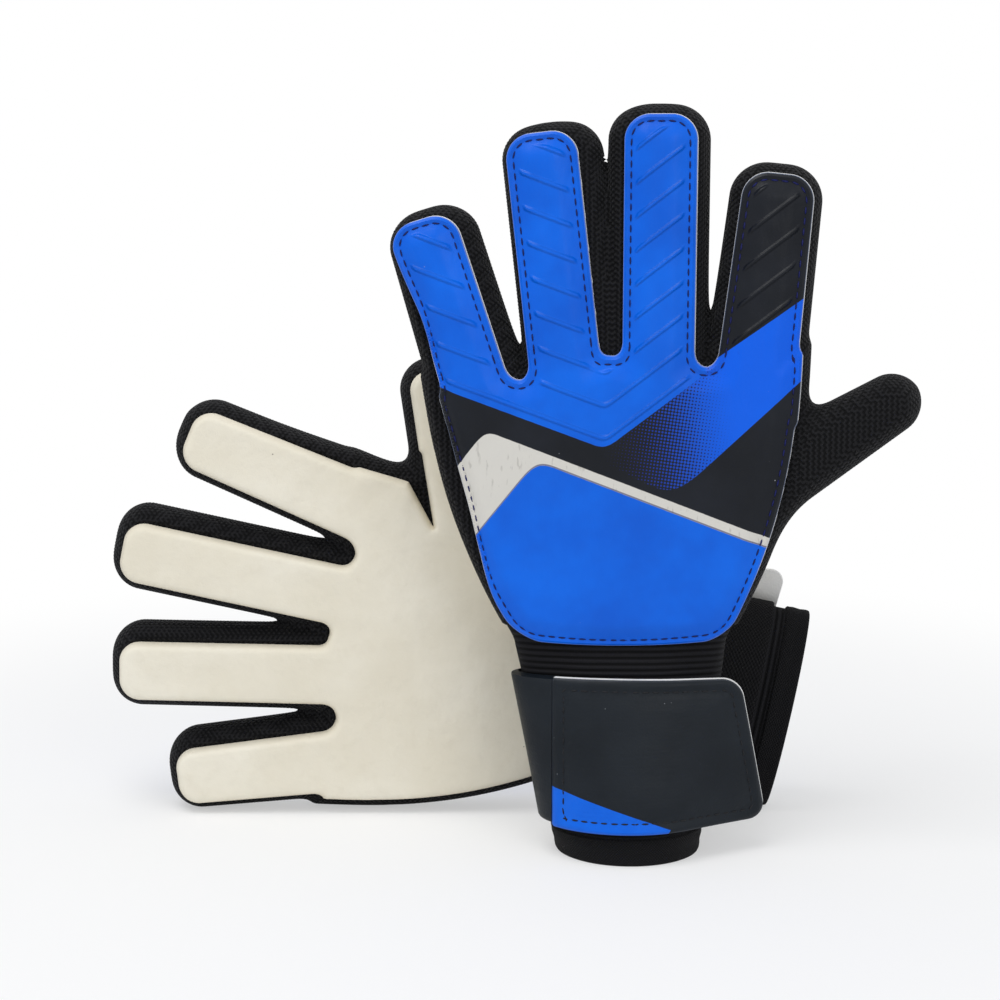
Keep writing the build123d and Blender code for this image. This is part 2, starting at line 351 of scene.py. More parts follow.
def makeObject(name, points, faces, material, maps=None, depth=None, sharp=35):
    mesh = bpy.data.meshes.new(name)
    mesh.from_pydata(points.tolist(), [], faces)
    for mapName, values in (maps or {}).items():
        layer = mesh.uv_layers.new(name=mapName)
        index = np.zeros(len(mesh.loops), np.int32)
        mesh.loops.foreach_get("vertex_index", index)
        layer.data.foreach_set("uv", np.asarray(values, np.float32)[index].ravel())
    if depth is not None:
        mesh.attributes.new("depth", "FLOAT", "POINT").data.foreach_set("value", np.asarray(depth, np.float32))
    mesh.polygons.foreach_set("use_smooth", [True] * len(mesh.polygons))
    mesh.set_sharp_from_angle(angle=math.radians(sharp))
    mesh.materials.append(material)
    mesh.validate()
    obj = bpy.data.objects.new(name, mesh)
    bpy.context.collection.objects.link(obj)
    return obj


def slabPieces(glove, sheet, distance, upper, lower, names, material, bulge=0.0, pillow=False):
    # one closed slab per body between two height functions; where the sheet was cut at a hinge line it stays open
    verts, faces = sheet["verts"], sheet["faces"]
    depth = sheet["level"] - distance(verts)
    depth = np.maximum(depth, 0)
    rim = rimEdges(faces)
    onRim = np.zeros(len(verts), bool)
    for a, b in rim:
        onRim[a] = onRim[b] = True
    depth[onRim] = 0
    top, low = upper(verts, depth), lower(verts, depth)
    made = {}
    for code in np.unique(sheet["owner"]):
        own = faces[sheet["owner"] == code]
        used = np.unique(own)
        new = np.full(len(verts), -1)
        new[used] = np.arange(len(used))
        n = len(used)
        u, v = verts[used].T
        pts = [glove.place(u, v, top[used])]
        uv = [verts[used]]
        dep = [depth[used]]
        lowIndex = np.arange(n, 2 * n)
        if pillow:
            shared = onRim[used]
            lowIndex = np.where(shared, np.arange(n), -1)
            free = np.nonzero(~shared)[0]
            lowIndex[free] = n + np.arange(len(free))
            pts.append(glove.place(u[free], v[free], low[used][free]))
            uv.append(verts[used][free])
            dep.append(depth[used][free])
        else:
            pts.append(glove.place(u, v, low[used]))
            uv.append(verts[used])
            dep.append(depth[used])
        up = new[own]
        down = lowIndex[new[own]][:, ::-1]
        polys = up.tolist() + down.tolist()
        if not pillow:
            owned = {tuple(sorted(e)) for f in own.tolist() for e in ((f[0], f[1]), (f[1], f[2]), (f[2], f[0]))}
            ownRim = [(new[a], new[b]) for a, b in rim if tuple(sorted((a, b))) in owned]
            if bulge:
                ends = sorted({k for e in ownRim for k in e})
                slot = {k: 2 * n + i for i, k in enumerate(ends)}
                h = 0.05
                p = verts[used][ends]
                gu = (distance(p + [h, 0]) - distance(p - [h, 0])) / (2 * h)
                gv = (distance(p + [0, h]) - distance(p - [0, h])) / (2 * h)
                p = p + np.column_stack([gu, gv]) * bulge
                mid = (top[used][ends] + low[used][ends]) / 2
                pts.append(glove.place(p[:, 0], p[:, 1], mid))
                uv.append(verts[used][ends])
                dep.append(np.zeros(len(ends)))
                for a, b in ownRim:
                    polys += [[b, a, slot[a], slot[b]], [slot[b], slot[a], int(lowIndex[a]), int(lowIndex[b])]]
            else:
                polys += [[b, a, int(lowIndex[a]), int(lowIndex[b])] for a, b in ownRim]
        polys = [[int(k) for k in f] for f in polys]
        flip = (top[used].mean() < low[used].mean()) ^ (glove.back < 0)
        # the plan's x, y and height axes are right-handed for the left glove and left-handed for the right one
        if flip:
            polys = [f[::-1] for f in polys]
        body = "hand" if code == 0 else sheet["digits"][code - 1]
        obj = makeObject(
            f"{glove.name}_{names[body]}_visual", np.vstack(pts), polys, material,
            dict(plan=np.vstack(uv) / 100), np.concatenate(dep),
        )
        made[body] = obj
    return made


# Finishes

class Value:
    # a shader socket that does arithmetic by adding Math nodes

    def __init__(self, paint, socket):
        self.paint, self.socket = paint, socket

    def math(self, kind, *others):
        return self.paint.node("ShaderNodeMath", dict(operation=kind), {i: v for i, v in enumerate((self, *others))})

    def __add__(self, o): return self.math("ADD", o)
    def __sub__(self, o): return self.math("SUBTRACT", o)
    def __mul__(self, o): return self.math("MULTIPLY", o)
    def __truediv__(self, o): return self.math("DIVIDE", o)
    __radd__ = __add__
    __rmul__ = __mul__
    def __rsub__(self, o): return self.paint.node("ShaderNodeMath", dict(operation="SUBTRACT"), {0: o, 1: self})
    def softLeast(self, o, k): return self.math("SMOOTH_MIN", o, k)
    def size(self): return self.math("ABSOLUTE")
    def wave(self): return self.math("SINE")
    def wave2(self): return self.math("COSINE")
    def part(self): return self.math("FRACT")
    def root(self): return self.math("SQRT")

    def ease(self, lo, hi):
        return self.paint.node(
            "ShaderNodeMapRange", dict(interpolation_type="SMOOTHSTEP", clamp=True),
            {0: self, 1: lo, 2: hi, 3: 0.0, 4: 1.0},
        )


class Paint:
    # one material and the nodes in it

    def __init__(self, name, **constants):
        self.material = bpy.data.materials.new(name)
        self.material.use_nodes = True
        self.tree = self.material.node_tree
        self.shader = self.tree.nodes["Principled BSDF"]
        for socket, value in constants.items():
            self.shader.inputs[socket.replace("_", " ")].default_value = value

    def node(self, kind, settings=None, inputs=None, out=0):
        n = self.tree.nodes.new(kind)
        for key, value in (settings or {}).items():
            if key == "stops":
                ramp = n.color_ramp
                while len(ramp.elements) < len(value):
                    ramp.elements.new(0.5)
                for element, (at, colour) in zip(ramp.elements, value):
                    element.position, element.color = at, (*colour, 1)
            else:
                setattr(n, key, value)
        for key, value in (inputs or {}).items():
            if isinstance(value, Value):
                self.tree.links.new(value.socket, n.inputs[key])
            else:
                n.inputs[key].default_value = value
        return Value(self, n.outputs[out])

    def split(self, vector):
        return [self.node("ShaderNodeSeparateXYZ", None, {0: vector}, k) for k in range(3)]

    def object(self):
        return self.node("ShaderNodeTexCoord", out=3)

    def plan(self):
        # the piece's own map, back in millimetres
        u, v, _ = self.split(self.node("ShaderNodeUVMap", dict(uv_map="plan")))
        return u * 100, v * 100

    def attribute(self, name):
        return self.node("ShaderNodeAttribute", dict(attribute_name=name, attribute_type="GEOMETRY"), out=2)

    def noise(self, vector, scale, detail=3.0, rough=0.5):
        inputs = {"Vector": vector, "Scale": scale, "Detail": detail, "Roughness": rough}
        return self.node("ShaderNodeTexNoise", None, inputs)

    def stretched(self, vector, by):
        return self.node("ShaderNodeVectorMath", dict(operation="MULTIPLY"), {0: vector, 1: by})

    def cells(self, vector, scale, feature="F1", out=0, spread=1.0):
        inputs = {"Vector": vector, "Scale": scale, "Randomness": spread}
        return self.node("ShaderNodeTexVoronoi", dict(feature=feature), inputs, out)

    def mix(self, share, a, b):
        wrap = lambda c: c if isinstance(c, Value) else (*c, 1)
        return self.node("ShaderNodeMix", dict(data_type="RGBA"), {0: share, 6: wrap(a), 7: wrap(b)}, 2)

    def bump(self, height, distance, strength=1.0, onto=None):
        inputs = {"Strength": strength, "Distance": distance, "Height": height}
        if onto is not None:
            inputs["Normal"] = onto
        return self.node("ShaderNodeBump", None, inputs)

    def feed(self, socket, value):
        self.tree.links.new(value.socket, self.shader.inputs[socket])


inkColours = dict(
    blueDeep=(0.0, 0.105, 0.66), blueBright=(0.0, 0.145, 0.82), navy=(0.004, 0.008, 0.10),
    black=(0.0045, 0.006, 0.0095), charcoal=(0.0095, 0.012, 0.019),
    white=(0.67, 0.65, 0.60), scuffed=(0.36, 0.34, 0.31), dotDark=(0.010, 0.014, 0.16), dotBright=(0.0, 0.115, 0.80),
)
# the print on the back of the hand, in plan millimetres: lines as (u, v, slope)
printPlan = dict(
    lineUpLeft=(-5.1, 127.0, -0.372), lineUpRight=(-5.1, 127.0, 0.76), vertexRound=5.0,
    indexEdge=(29.7, 155.4, 0.698),
    bandLow=(51.6, 146.0, 0.93), bandCorner=(14.5, 113.0), bandRound=14.0,
    whiteTopLeft=(-50.4, 120.6, 1.25), whiteTopRight=(-24.6, 126.3, -0.384), whiteTopRound=7.0,
    whiteLowLeft=(-45.3, 99.0, 1.235), whiteLowRight=(-7.5, 116.4, -0.384), whiteLowRound=10.0,
    dotPitch=1.0, dotTurn=-8.0, dotsFrom=-8.0, dotsTo=42.0,
    grooveFirst=129.9, groovePitch=9.9, grooveWidth=1.15, grooveDepth=0.55,
)


def printedSkin():
    p = Paint("printedSkin", Specular_IOR_Level=0.2)
    q = printPlan
    u, v = p.plan()
    depth = p.attribute("depth")
    where = p.object()

    def above(line):
        return v - ((u - line[0]) * line[2] + line[1])

    edge = 0.12
    wobble = (p.noise(where, 600.0, 1.0) - 0.5) * 0.12
    foldLine = above(q["lineUpLeft"]).softLeast(above(q["lineUpRight"]), q["vertexRound"])
    upper = (foldLine + wobble).ease(-edge, edge)                    # blue over three fingers
    overIndex = (above(q["indexEdge"]) + wobble).ease(-edge, edge)   # black fingertip
    onIndexSide = (u - 24.7 - (v - 150.0) * 0.02).ease(-edge, edge)
    cornerU, cornerV = q["bandCorner"]
    lowBand = above(q["bandLow"]).softLeast((u * 0.45 + v * 0.9) - (cornerU * 0.45 + cornerV * 0.9), q["bandRound"])
    inBand = (lowBand + wobble).ease(-edge, edge)

    # halftone: round dots that grow from nothing to solid
    turn = math.radians(q["dotTurn"])
    du = (u * math.cos(turn) + v * math.sin(turn)) / q["dotPitch"]
    dv = (v * math.cos(turn) - u * math.sin(turn)) / q["dotPitch"]
    cu, cv = du.part() - 0.5, dv.part() - 0.5
    spot = (cu * cu + cv * cv).root()
    grow = ((u + (v - 130.0) * 0.12) - q["dotsFrom"]) / (q["dotsTo"] - q["dotsFrom"])
    dots = (grow * 0.86 - spot - 0.02).ease(-0.05, 0.05)

    vTop = ((u - q["whiteTopLeft"][0]) * q["whiteTopLeft"][2] + q["whiteTopLeft"][1]).softLeast(
        (u - q["whiteTopRight"][0]) * q["whiteTopRight"][2] + q["whiteTopRight"][1], q["whiteTopRound"])
    vLow = ((u - q["whiteLowLeft"][0]) * q["whiteLowLeft"][2] + q["whiteLowLeft"][1]).softLeast(
        (u - q["whiteLowRight"][0]) * q["whiteLowRight"][2] + q["whiteLowRight"][1], q["whiteLowRound"])
    belowTop = (vTop - v + wobble).ease(-edge, edge)
    belowLow = (vLow - v + wobble).ease(-edge, edge)
    lowLine = 1.0 - (vLow - v + 0.25).size().ease(0.16, 0.34)

    shade = p.noise(where, 38.0, 3.0, 0.55)
    blue = p.mix(shade.ease(0.3, 0.75), inkColours["blueDeep"], inkColours["blueBright"])
    black = p.mix(shade.ease(0.3, 0.8), inkColours["black"], inkColours["charcoal"])
    scuff = p.noise(p.stretched(where, (900.0, 900.0, 260.0)), 1.0, 2.0)
    white = p.mix((scuff - 0.62).ease(0.0, 0.12) * 0.45, inkColours["white"], inkColours["scuffed"])
    dotInk = p.mix(grow.ease(0.1, 0.9), inkColours["dotDark"], inkColours["dotBright"])
    band = p.mix(dots, black, dotInk)
    base = p.mix(inBand, black, band)
    base = p.mix(upper * (1.0 - onIndexSide), base, blue)
    base = p.mix(overIndex * onIndexSide, base, black)
    base = p.mix(belowTop, base, white)
    base = p.mix(belowLow, base, blue)
    base = p.mix(lowLine * 0.7, base, inkColours["navy"])
    # small pale specks where the print has chipped, and a lighter blue-grey band along the panel's very edge
    chips = p.cells(where, 150.0)
    chipHere = (0.030 - chips).ease(0.0, 0.012) * (p.noise(where, 60.0, 1.0) - 0.52).ease(0.0, 0.05)
    base = p.mix(chipHere * 0.8, base, (0.55, 0.56, 0.58))
    base = p.mix((0.28 - depth).ease(0.0, 0.2) * 0.35, base, (0.35, 0.42, 0.62))
    p.feed("Base Color", base)

    onFinger = (foldLine - 1.2).ease(0.0, 0.8)
    chevron = above(q["lineUpLeft"]).softLeast(above(q["lineUpRight"]), 3.0)
    line = ((chevron - (q["grooveFirst"] - q["lineUpLeft"][1])) / q["groovePitch"] + 0.5).part() - 0.5
    dist = line.size() * q["groovePitch"]
    groove = (1.0 - dist.ease(0.15, q["grooveWidth"]))
    inside = depth.ease(3.1, 4.6)
    groove = groove * onFinger * inside
    puff = p.noise(where, 55.0, 2.0, 0.5)
    creases = p.noise(p.stretched(where, (150.0, 150.0, 45.0)), 1.0, 3.0, 0.6)
    grain = p.cells(where, 1500.0)
    height = groove * (q["grooveDepth"] / 1000) + (puff * 0.0009) + (creases * 0.00028) + grain * 0.000018
    p.feed("Normal", p.bump(height, 1.0))
    p.feed("Roughness", (p.noise(where, 90.0, 3.0) * 0.16) + 0.30 + belowTop * (1.0 - belowLow) * 0.12)
    return p.material


def knittedMesh():
    p = Paint("knittedMesh", Specular_IOR_Level=0.12, Sheen_Weight=0.04, Sheen_Roughness=0.4)
    where = p.object()
    k = 2 * math.pi / 0.00165
    x, y, z = [c * k for c in p.split(where)]
    knobs = x.wave() * z.wave2() + z.wave() * y.wave2() + y.wave() * x.wave2()
    fuzz = p.noise(where, 2600.0, 2.0)
    # painted shade: the knobs' tops are painted lighter and the holes between them darker, following the bump, with
    # random fuzz tone on top
    holeShading = knobs.ease(-1.1, 0.9)
    p.feed("Base Color", p.mix(holeShading * (fuzz * 0.6 + 0.4), (0.0025, 0.0025, 0.003), (0.017, 0.017, 0.019)))
    p.feed("Normal", p.bump(knobs * 0.00022 + fuzz * 0.00012, 1.0, 0.85))
    p.feed("Roughness", fuzz * 0.2 + 0.68)
    return p.material


def ribbedElastic():
    p = Paint("ribbedElastic", Specular_IOR_Level=0.12, Sheen_Weight=0.04, Sheen_Roughness=0.4)
    around, up = p.plan()
    where = p.object()
    ribs = (up * (2 * math.pi / 1.9)).wave()
    yarn = (around * (2 * math.pi / 0.85)).wave() * (up * (2 * math.pi / 0.95)).wave2()
    fuzz = p.noise(where, 2400.0, 2.0)
    # painted shade: the rib tops are painted lighter and the grooves between them darker, following the bump, with
    # random fuzz tone on top
    reliefShading = ribs.ease(-1.0, 0.6) * (fuzz * 0.7 + 0.3)
    p.feed("Base Color", p.mix(reliefShading, (0.002, 0.002, 0.0025), (0.020, 0.020, 0.023)))
    p.feed("Normal", p.bump(ribs * 0.00026 + yarn * 0.00007 + fuzz * 0.00010, 1.0, 0.8))
    p.feed("Roughness", fuzz * 0.2 + 0.66)
    return p.material


def wovenBlack(name, rib, depth):
    p = Paint(name, Specular_IOR_Level=0.12, Sheen_Weight=0.04, Sheen_Roughness=0.4)
    around, up = p.plan()
    where = p.object()
    a = (around * (2 * math.pi / rib)).wave()
    b = (up * (2 * math.pi / (rib * 0.8))).wave()
    fuzz = p.noise(where, 2800.0, 2.0)
    weave = a * b
    # painted shade: the weave's raised crossings are painted lighter and the dips between them darker, following the
    # bump, with random fuzz tone on top
    reliefShading = weave.ease(-0.9, 0.9) * (fuzz * 0.6 + 0.4)
    p.feed("Base Color", p.mix(reliefShading, (0.003, 0.003, 0.0035), (0.016, 0.016, 0.018)))
    p.feed("Normal", p.bump(weave * depth + fuzz * 0.00010, 1.0, 0.8))
    p.feed("Roughness", fuzz * 0.2 + 0.68)
    return p.material


def whiteFoam():
    p = Paint("whiteFoam", Specular_IOR_Level=0.3)
    where = p.object()
    pores = p.cells(where, 2200.0)
    stain = p.noise(where, 120.0, 3.0)
    p.feed("Base Color", p.mix(stain.ease(0.35, 0.8) * 0.6, (0.82, 0.815, 0.80), (0.62, 0.62, 0.61)))
    p.feed("Normal", p.bump(pores * 0.0001, 1.0, 0.6))
    p.feed("Roughness", stain * 0.15 + 0.78)
    return p.material


def palmLatex():
    p = Paint("palmLatex", Specular_IOR_Level=0.35, Subsurface_Weight=0.0)
    u, v = p.plan()
    depth = p.attribute("depth")
    where = p.object()
    cloud = p.noise(where, 22.0, 4.0, 0.55)
    fine = p.noise(where, 240.0, 3.0, 0.6)
    base = p.mix(cloud.ease(0.3, 0.72), (0.80, 0.745, 0.61), (0.875, 0.83, 0.71))
    base = p.mix(fine.ease(0.45, 0.9) * 0.35, base, (0.74, 0.68, 0.55))
    base = p.mix((1.4 - depth).ease(0.0, 1.2) * 0.30, base, (0.66, 0.59, 0.46))
    speck = p.cells(where, 95.0)
    speckHere = (0.035 - speck).ease(0.0, 0.012) * (p.noise(where, 41.0, 1.0) - 0.5).ease(0.0, 0.03)
    base = p.mix(speckHere * 0.75, base, (0.20, 0.17, 0.13))
    p.feed("Base Color", base)
    # creases that fan out of the thumb's root
    ru, rv = u - 58.0, v - 131.0
    angle = rv.math("ARCTAN2", ru)
    reachOut = (ru * ru + rv * rv).root()
    fan = (angle * 7.0 + (p.noise(where, 60.0, 2.0) * 3.0)).wave()
    fan = fan * reachOut.ease(2.0, 9.0) * (1.0 - reachOut.ease(12.0, 34.0))
    pores = p.cells(where, 1700.0)
    dents = p.noise(where, 70.0, 3.0, 0.55)
    height = fan * 0.00032 + dents * 0.0011 + fine * 0.00014 + pores * 0.00004
    p.feed("Normal", p.bump(height, 1.0, 0.9))
    p.feed("Roughness", fine * 0.2 + 0.52)
    return p.material


def tabLeather():
    p = Paint("tabLeather", Specular_IOR_Level=0.2)
    u, v = p.plan()
    depth = p.attribute("depth")
    where = p.object()
    cloud = p.noise(where, 45.0, 3.0)
    base = p.mix(cloud.ease(0.3, 0.75), (0.0045, 0.0075, 0.0115), (0.0085, 0.0125, 0.018))
    # blue leaf in the lower corner of the free side
    upperCurve = 24.0 - (u + 23.0) * 0.24 - (u + 23.0) * (u + 23.0) * 0.0022
    leaf = (upperCurve - v).ease(-0.12, 0.12) * (14.0 - u + (v - 10.0) * 0.5).ease(-0.1, 0.1)
    base = p.mix(leaf, base, p.mix(cloud.ease(0.3, 0.75), inkColours["blueDeep"], inkColours["blueBright"]))
    chips = p.cells(where, 210.0)
    chipHere = (0.036 - chips).ease(0.0, 0.012) * (p.noise(where, 70.0, 1.0) - 0.47).ease(0.0, 0.05)
    base = p.mix(chipHere * 0.6, base, (0.30, 0.32, 0.35))
    base = p.mix((0.5 - depth).ease(0.0, 0.4) * 0.3, base, (0.10, 0.11, 0.13))
    p.feed("Base Color", base)
    scratch = p.noise(p.stretched(where, (60.0, 60.0, 900.0)), 1.0, 3.0, 0.6)
    grain = p.cells(where, 1300.0)
    puff = p.noise(where, 60.0, 2.0)
    p.feed("Normal", p.bump(grain * 0.00004 + scratch * 0.00008 + puff * 0.0008, 1.0))
    p.feed("Roughness", scratch * 0.2 + 0.34)
    return p.material


def threadFinish(name, colour):
    p = Paint(name, Specular_IOR_Level=0.3)
    where = p.object()
    twist = p.noise(where, 3000.0, 2.0)
    p.feed("Base Color", p.mix(twist, tuple(c * 0.5 for c in colour), colour))
    p.feed("Normal", p.bump(twist * 0.0001, 1.0, 0.6))
    p.feed("Roughness", twist * 0.2 + 0.5)
    return p.material


def pileFinish(name, stiff):
    p = Paint(name, Specular_IOR_Level=0.3, Sheen_Weight=0.2)
    where = p.object()
    loops = p.cells(where, 900.0 if stiff else 1500.0, spread=0.3 if stiff else 1.0)
    # painted shade: each loop's raised middle is painted lighter and the dips between loops darker, following the
    # bump below
    p.feed("Base Color", p.mix(loops, (0.022, 0.022, 0.024), (0.006, 0.006, 0.007)))
    p.feed("Normal", p.bump(loops * -0.0004, 1.0, 0.9))
    p.feed("Roughness", loops * 0.2 + 0.6)
    return p.material


skinFinish, meshFinish, elasticFinish = printedSkin(), knittedMesh(), ribbedElastic()
foamFinish, latexFinish, tabFinish = whiteFoam(), palmLatex(), tabLeather()
bindingFinish, strapFinish = wovenBlack("cuffBinding", 1.1, 0.00018), wovenBlack("strapWeave", 1.5, 0.00022)
navyThread = threadFinish("navyThread", (0.006, 0.010, 0.12))
blackThread = threadFinish("blackThread", (0.008, 0.009, 0.012))
loopFinish, hookFinish = pileFinish("loopPile", False), pileFinish("hookTape", True)
print("finishes are ready")


# Hands: knitted mesh, foam, printed skin and latex

padShape = dict(
    meshHalf=7.0, meshRound=5.5,
    foamLow=6.0, skinThick=0.8,
    rimTop=9.1, crownTop=10.4, stitchDepth=2.1, stitchDip=0.55, crownFrom=2.6, crownTo=7.0,
    latexLow=6.0, latexOut=10.6, latexRound=2.2, sideKnit=5.0, panelCorner=6.0, flapBelow=4.0, flapRise=9.0,
    step=0.9, pitch=1.35,
)


def ripple(points, scale, seed):
    # slow unevenness of soft layers, about -1 to 1
    u, v = points.T
    s = seed * 1.7
    return (np.sin(u / scale + s) * np.cos(v / (scale * 1.3) - s) + np.sin((u + v) / (scale * 0.8) + 2 * s)) / 2


def roundedRise(depth, radius):
    # 0 at the edge, rising like a quarter circle to 1
    return np.sqrt(np.maximum(1 - (1 - np.minimum(depth / radius, 1)) ** 2, 0))


def clipWrist(distance, low, rise):
    # the panels' lower edge bows down over the cuff
    radius = (60.0 ** 2 + rise ** 2) / (2 * rise)

    def clipped(points):
        d = distance(points)
        under = radius - np.hypot(points[:, 0], points[:, 1] - (low + radius))
        under = np.where(points[:, 1] > low + radius, -50.0, -under)
        return roundedMost(d, under, padShape["panelCorner"])

    return clipped


def wideKnit(points):
    # the printed panel keeps further off the edge on the little finger's side of the palm
    u, v = points.T
    inwards = u + 37 + 14 * smooth(108, 158, v)
    return padShape["sideKnit"] * smooth(0, -11, inwards) * (1 - smooth(146, 190, v)) * smooth(68, 96, v)


def skinTop(glove, points, depth):
    s = padShape
    crown = s["rimTop"] + (s["crownTop"] - s["rimTop"]) * smooth(s["crownFrom"], s["crownTo"], depth)
    dip = s["stitchDip"] * np.exp(-((depth - s["stitchDepth"]) / 0.75) ** 2)
    curl = 0.75 * (1 - smooth(0.0, 0.9, depth))
    return crown - dip - curl + 0.16 * ripple(points, 14.0, 1 + glove.back) * smooth(1, 6, depth)


def buildHand(glove):
    s = padShape
    whole = lambda p: glove.distance(p)
    knit = lambda p: glove.knitDistance(p)
    noThumb = lambda p: glove.distance(p, thumb=False)

    # the knit, a closed pocket round the whole hand, open at the wrist inside the cuff
    meshShape = lambda p: np.maximum(knit(p), 72.0 - p[:, 1])
    sheet = flatSheet(glove, meshShape, 0.0, 1.1, (0.15, 0.5, 1.1, 2.0, 3.2, 4.6), 2.2, fingerNames + ("thumb",))

    def meshTop(points, depth):
        d = np.maximum(-knit(points), 0)
        side = roundedRise(d, s["meshRound"])
        out = s["meshHalf"] * side
        onThumb = 1.0 - smooth(-9.0, 1.0, glove.digitDistance("thumb", points, 9.0))
        offPanel = smooth(-1.0, 3.0, noThumb(points))
        out = out * (1 + 0.22 * onThumb * offPanel) + 0.12 * ripple(points, 9.0, 3) * side
        # tuck in under the panels
        return np.where(noThumb(points) < -3.5, np.minimum(out, 5.9), out)

    def meshLow(points, depth):
        d = np.maximum(-knit(points), 0)
        side = roundedRise(d, s["meshRound"])
        return np.where(d > 5.0, -5.9, -s["meshHalf"] * side)

    pieces = slabPieces(
        glove, sheet, meshShape, meshTop, meshLow,
        {"hand": "hand_mesh", **{d: d + "_mesh" for d in digitPlan}}, meshFinish, pillow=True,
    )
    for body, obj in pieces.items():
        node = "hand_gusset" if body == "hand" else "thumb_mesh" if body == "thumb" else body + "_gusset"
        finishPiece(obj, glove, body, node)

    # white foam and printed skin of the back
    inset = glove.panelInset
    flap = (handPlan["cuffLength"] - s["flapBelow"], s["flapRise"])
    backShape = clipWrist(lambda p: noThumb(p) + inset + wideKnit(p), *flap)
    backSheet = flatSheet(glove, backShape, 0.0, s["step"], (0.35, 0.9, 1.5, 2.1, 2.7, 3.6), s["pitch"], fingerNames)
    top = lambda p, d: skinTop(glove, p, d)
    skin = slabPieces(
        glove, backSheet, backShape, top, lambda p, d: skinTop(glove, p, d) - s["skinThick"],
        {"hand": "hand_skin", **{d: d + "_skin" for d in fingerNames}}, skinFinish,
    )
    foamSheet = flatSheet(glove, backShape, -0.15, 1.2, (0.6,), 3.0, fingerNames)
    foam = slabPieces(
        glove, foamSheet, backShape, lambda p, d: skinTop(glove, p, d) - s["skinThick"] - 0.02,
        lambda p, d: np.full(len(p), s["foamLow"]),
        {"hand": "hand_foam", **{d: d + "_foam" for d in fingerNames}}, foamFinish, bulge=0.3,
    )
    for body in skin:
        finishPiece(skin[body], glove, body, body + "_back_skin")
        finishPiece(foam[body], glove, body, body + "_back_foam")

    # latex of the palm
    insetLatex = glove.latexInset
    palmShape = clipWrist(lambda p: whole(p) + insetLatex, *flap)
    slit = np.array([[61.0, 135.5], [39.0, 127.5], [58.0, 143.0]])
    palmCut = lambda p: np.maximum(palmShape(p), -(polygonDistance(p, slit) - 0.6))
    palmSheet = flatSheet(glove, palmCut, 0.0, s["step"], (0.3, 0.8, 1.5, 2.3), 1.9, fingerNames + ("thumb",))

    def palmOut(points, depth):
        edge = roundedRise(depth, s["latexRound"])
        out = s["latexOut"] - 2.0 + 2.0 * edge + 0.22 * ripple(points, 16.0, 5) * smooth(1, 8, depth)
        return -out

    latex = slabPieces(
        glove, palmSheet, palmCut, palmOut, lambda p, d: np.full(len(p), -s["latexLow"]),
        {"hand": "palm_latex", **{d: d + "_latex" for d in digitPlan}}, latexFinish, bulge=0.4,
    )
    for body, obj in latex.items():
        finishPiece(obj, glove, body, "palm_latex" if body == "hand" else body + "_latex")

    # stitching round the back, one seam per body
    seamLoops = contour(backShape, -s["stitchDepth"], 0.8)
    for code, digit in enumerate(("hand",) + fingerNames):
        runs = []
        for loop in seamLoops:
            own = glove.owner(loop, fingerNames) == code
            runs += openRuns(loop, own)
        name = f"{glove.name}_{digit}_seam_visual"
        obj = stitchRuns(glove, name, runs, lambda p: skinTop(glove, p, -backShape(p)) + 0.08, navyThread)
        finishPiece(obj, glove, digit, None)
    print(glove.name, "hand is sewn")


def openRuns(loop, own):
    # stretches of a closed loop that belong to one body, as open or closed lists of points
    if own.all():
        return [np.vstack([loop, loop[:1]])]
    if not own.any():
        return []
    start = int(np.nonzero(~own)[0][0])
    loop, own = np.roll(loop, -start, axis=0), np.roll(own, -start)
    runs, run = [], []
    for p, o in zip(loop, own):
        if o:
            run.append(p)
        elif run:
            runs.append(np.array(run))
            run = []
    if run:
        runs.append(np.array(run))
    return [r for r in runs if len(r) > 3]


stitchSize = dict(spacing=3.1, length=2.35, width=0.55)


def stitchTree(material):
    tree = bpy.data.node_groups.new("stitches", "GeometryNodeTree")
    face = tree.interface
    face.new_socket("Geometry", in_out="INPUT", socket_type="NodeSocketGeometry")
    ids = {}
    for label in ("Spacing", "Length", "Width"):
        ids[label] = face.new_socket(label, in_out="INPUT", socket_type="NodeSocketFloat").identifier
    face.new_socket("Geometry", in_out="OUTPUT", socket_type="NodeSocketGeometry")
    n, link = tree.nodes, tree.links.new
    start, end = n.new("NodeGroupInput"), n.new("NodeGroupOutput")
    curve = n.new("GeometryNodeMeshToCurve")
    resample = n.new("GeometryNodeResampleCurve")
    resample.mode = "LENGTH"
    tangent = n.new("GeometryNodeInputTangent")
    turn = n.new("FunctionNodeAlignRotationToVector")
    turn.axis = "X"
    bead = n.new("GeometryNodeMeshUVSphere")
    bead.inputs["Segments"].default_value = 6
    bead.inputs["Rings"].default_value = 4
    bead.inputs["Radius"].default_value = 0.5
    shape = n.new("GeometryNodeTransform")
    size = n.new("ShaderNodeCombineXYZ")
    place = n.new("GeometryNodeInstanceOnPoints")
    real = n.new("GeometryNodeRealizeInstances")
    paint = n.new("GeometryNodeSetMaterial")
    paint.inputs["Material"].default_value = material
    link(start.outputs[0], curve.inputs[0])
    link(curve.outputs[0], resample.inputs["Curve"])
    link(start.outputs["Spacing"], resample.inputs["Length"])
    link(start.outputs["Length"], size.inputs[0])
    link(start.outputs["Width"], size.inputs[1])
    link(start.outputs["Width"], size.inputs[2])
    link(bead.outputs["Mesh"], shape.inputs["Geometry"])
    link(size.outputs[0], shape.inputs["Scale"])
    link(resample.outputs[0], place.inputs["Points"])
    link(shape.outputs[0], place.inputs["Instance"])
    link(tangent.outputs[0], turn.inputs["Vector"])
    link(turn.outputs[0], place.inputs["Rotation"])
    link(place.outputs[0], real.inputs[0])
    link(real.outputs[0], paint.inputs["Geometry"])
    link(paint.outputs[0], end.inputs[0])
    return tree, ids


